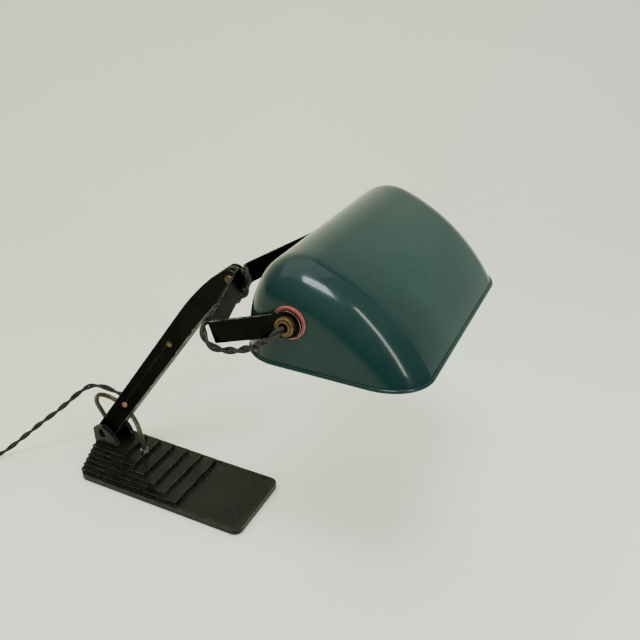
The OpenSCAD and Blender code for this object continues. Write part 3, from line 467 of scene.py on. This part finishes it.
def skin(r, wall, inward):
    """One face of the hood's sheet, with both ends closed by a flat section."""
    verts, faces = [], []
    rows = stations(r, wall)
    for y, inset in rows:
        verts += [((px + x) / 1000, y / 1000, (pz + z) / 1000) for x, z in profile(inset)]
    n = len(verts) // len(rows)
    for j in range(len(rows) - 1):
        for i in range(n - 1):
            a = j * n + i
            f = (a, a + 1, a + n + 1, a + n)
            faces.append(f if inward else f[::-1])
    start, end = tuple(range(n)), tuple(range(len(verts) - n, len(verts)))
    faces += [start[::-1], end] if inward else [start, end[::-1]]
    return verts, faces, n, len(rows)


def rim_loop():
    """The closed line of the rim, seen from above."""
    rows = [(profile(s), y) for y, s in stations(END_R, 0)]
    return [(p[-1][0], y) for p, y in rows] + [(p[0][0], y) for p, y in reversed(rows)]


outer, outer_faces, n, rows = skin(END_R, 0, True)
inner, inner_faces, _, _ = skin(END_R - WALL, WALL, False)
shift = len(outer)
faces = outer_faces + [tuple(i + shift for i in f) for f in inner_faces]
index = [0] * len(outer_faces) + [1] * len(inner_faces)
loop = [j * n + n - 1 for j in range(rows)] + [(rows - 1) * n] + [j * n for j in range(rows - 2, -1, -1)]
for a, b in zip(loop, loop[1:] + loop[:1]):
    faces.append((a, b, b + shift, a + shift))
    index.append(0)
hood = add_mesh("hood_shell", outer + inner, faces, ["teal_enamel", "white_enamel"], index)
bm = bmesh.new()
bm.from_mesh(hood.data)
bmesh.ops.recalc_face_normals(bm, faces=bm.faces)
bm.to_mesh(hood.data)
bm.free()
hood.modifiers.new("weights", "WEIGHTED_NORMAL").keep_sharp = True
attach(hood, "shade")
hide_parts("shade_shell")

ring, faces, sides = [], [], 14
path = rim_loop()
for i, (x, y) in enumerate(path):
    x0, y0 = path[i - 1]
    x1, y1 = path[(i + 1) % len(path)]
    t = Vector((x1 - x0, y1 - y0, 0)).normalized()
    for k in range(sides):
        a = 2 * math.pi * k / sides
        ring.append(((px + x + t.y * BEAD * math.cos(a)) / 1000, (y - t.x * BEAD * math.cos(a)) / 1000,
                     (pz + RIM + BEAD * math.sin(a)) / 1000))
for i in range(len(path)):
    j = (i + 1) % len(path)
    for k in range(sides):
        k2 = (k + 1) % sides
        faces.append((i * sides + k, i * sides + k2, j * sides + k2, j * sides + k))
bead = add_mesh("hood_rim", ring, faces, ["teal_enamel"])
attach(bead, "shade")

# ---------- the bulb's stem and filament ----------
low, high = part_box("bulb_glass")
bx, bz = (low.x + high.x) / 2, (low.z + high.z) / 2
neck = low.y
stem = neck + 0.42 * (high.y - neck)
STEM_SIDES = 16
verts = []
for y, r in ((neck + 0.004, 0.0085), (neck + 0.02, 0.005), (stem - 0.01, 0.0035),
             (stem - 0.004, 0.0045), (stem, 0.0015)):
    for k in range(STEM_SIDES):
        a = 2 * math.pi * k / STEM_SIDES
        verts.append((bx + r * math.cos(a), y, bz + r * math.sin(a)))
piece = add_mesh("bulb_stem", verts, tube_faces(0, len(verts) // STEM_SIDES, STEM_SIDES), ["bulb_glass"])
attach(piece, "shade")


def wire(name, points, r):
    verts, faces = tube([Vector(p) for p in points], r, 6)
    piece = add_mesh(name, verts, faces, ["steel"])
    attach(piece, "shade")


LEAD_WIRE, FILAMENT = 0.0003, 0.00012  # radii
for name, side in (("bulb_lead_1", -1), ("bulb_lead_2", 1)):
    wire(name, [(bx + side * x, stem + y, bz) for x, y in ((0.002, -0.006), (0.006, 0.008), (0.011, 0.016))],
         LEAD_WIRE)
filament = []
for i in range(241):
    t = math.pi * i / 240
    filament.append((
        bx + 0.011 * math.cos(t), stem + 0.016 + 0.005 * math.sin(t) + 0.0006 * math.cos(i * 0.9),
        bz + 0.0006 * math.sin(i * 0.9)))
wire("bulb_filament", filament, FILAMENT)

# ---------- finishes on the CAD pieces ----------
slots = {s["node"]: s["material_slot"] for s in frame["record"]["subparts"]}
BEVEL = {}  # the width of the small chamfer on each node's edges, in metres
for width, names in (
        (0.0009, "foot_casting"), (0.0006, "plug_body holder_cap"), (0.0005, "rod_nut ring_nut"),
        (0.00045, "yoke_strip arm_channel"), (0.0004, "knuckle clamp_jaws hinge_nut lock_nut fibre_washers"),
        (0.0003, "jaw_nut elbow_nut far_nut base_felt hinge_washers pivot_nipple holder_shell cord_tie"),
        (0.0002, "elbow_screw jaw_screw flex_clips")):
    for name in names.split():
        BEVEL[name] = width
for name, o in NODES.items():
    o.data.materials.clear()
    o.data.materials.append(MATS[slots[name]])
    weld = o.modifiers.new("weld", "WELD")
    weld.merge_threshold = 0.00001
    if name in BEVEL:
        bevel = o.modifiers.new("bevel", "BEVEL")
        bevel.width = BEVEL[name]
        bevel.segments = 3
        bevel.limit_method = "ANGLE"
        bevel.angle_limit = math.radians(32)
        bevel.use_clamp_overlap = True
        bevel.harden_normals = True

# ---------- floor and light ----------
q = Paint("paper")
across = q.node("ShaderNodeSeparateXYZ", Vector=q.p).outputs["X"]
# Painted light: the paper goes from warm yellow on the left to cool blue-green on the right, standing in for
# warm and cool light falling on it; large soft blotches of a duller tone lie over it.
painted_light_tint = q.mix(q.ramp(across, -0.5, 0.8), (0.84, 0.84, 0.64), (0.78, 0.86, 0.80))
q.colour(q.mix(q.ramp(q.noise(1.6, 2.0), 0.35, 0.7, 0.0, 0.3), painted_light_tint, (0.74, 0.78, 0.68)))
q.rough(q.ramp(q.noise(40.0), 0.3, 0.7, 0.82, 0.95))
q.bump(q.noise(900.0), 0.04, 0.0002)
MATS["paper"] = q.m
side_on = Vector((math.cos(CAMERA_TURN), math.sin(CAMERA_TURN), 0))
away = Vector((-side_on.y, side_on.x, 0))
NEAR, FAR, ROOM_HIGH, HALF_WIDE, SWEEP = -3.0, 0.75, 3.0, 3.2, 0.5  # the paper's sizes and its curve
outline = [(NEAR, 0.0), (FAR, 0.0)]
for i in range(1, 19):
    t = math.radians(5 * i)
    outline.append((FAR + SWEEP * math.sin(t), SWEEP - SWEEP * math.cos(t)))
outline.append((FAR + SWEEP, ROOM_HIGH))
verts = [side_on * s + away * d + Vector((0, 0, h)) for d, h in outline for s in (-HALF_WIDE, HALF_WIDE)]
faces = [(2 * i, 2 * i + 1, 2 * i + 3, 2 * i + 2) for i in range(len(outline) - 1)]
add_mesh("backdrop", verts, faces, ["paper"])


def softbox(name, place, aim, size, size_y, power, colour):
    light = bpy.data.objects.new(name, bpy.data.lights.new(name, "AREA"))
    bpy.context.collection.objects.link(light)
    light.data.shape = "RECTANGLE"
    light.data.size, light.data.size_y = size, size_y
    light.data.energy = power
    light.data.color = colour
    light.location = place
    light.rotation_euler = (Vector(aim) - Vector(place)).to_track_quat("-Z", "Y").to_euler()


softbox("window", (0.47, -0.70, 1.67), (0.21, -0.1, 0.32), 0.5, 0.36, 20, (0.84, 0.94, 1.0))
softbox("tall_window", (1.41, -0.50, 1.16), (0.25, -0.1, 0.3), 0.16, 1.15, 13, (1.0, 0.96, 0.84))
softbox("sky", (-0.5, 0.1, 2.3), (0.1, 0, 0.2), 2.6, 2.6, 31, (0.98, 1.0, 0.92))

# The room: darker low down, so that gloss has something to show.
world = bpy.data.worlds.new("room")
world.use_nodes = True
tree = world.node_tree
place = tree.nodes.new("ShaderNodeTexCoord")
split = tree.nodes.new("ShaderNodeSeparateXYZ")
rise = tree.nodes.new("ShaderNodeMapRange")
tree.links.new(place.outputs["Generated"], split.inputs[0])
tree.links.new(split.outputs["Z"], rise.inputs["Value"])
for key, value in (("From Min", 0.0), ("From Max", 0.95), ("To Min", 0.2), ("To Max", 1.1)):
    rise.inputs[key].default_value = value
tree.links.new(rise.outputs["Result"], tree.nodes["Background"].inputs["Strength"])
tree.nodes["Background"].inputs["Color"].default_value = (0.92, 0.98, 0.88, 1)
bpy.context.scene.world = world
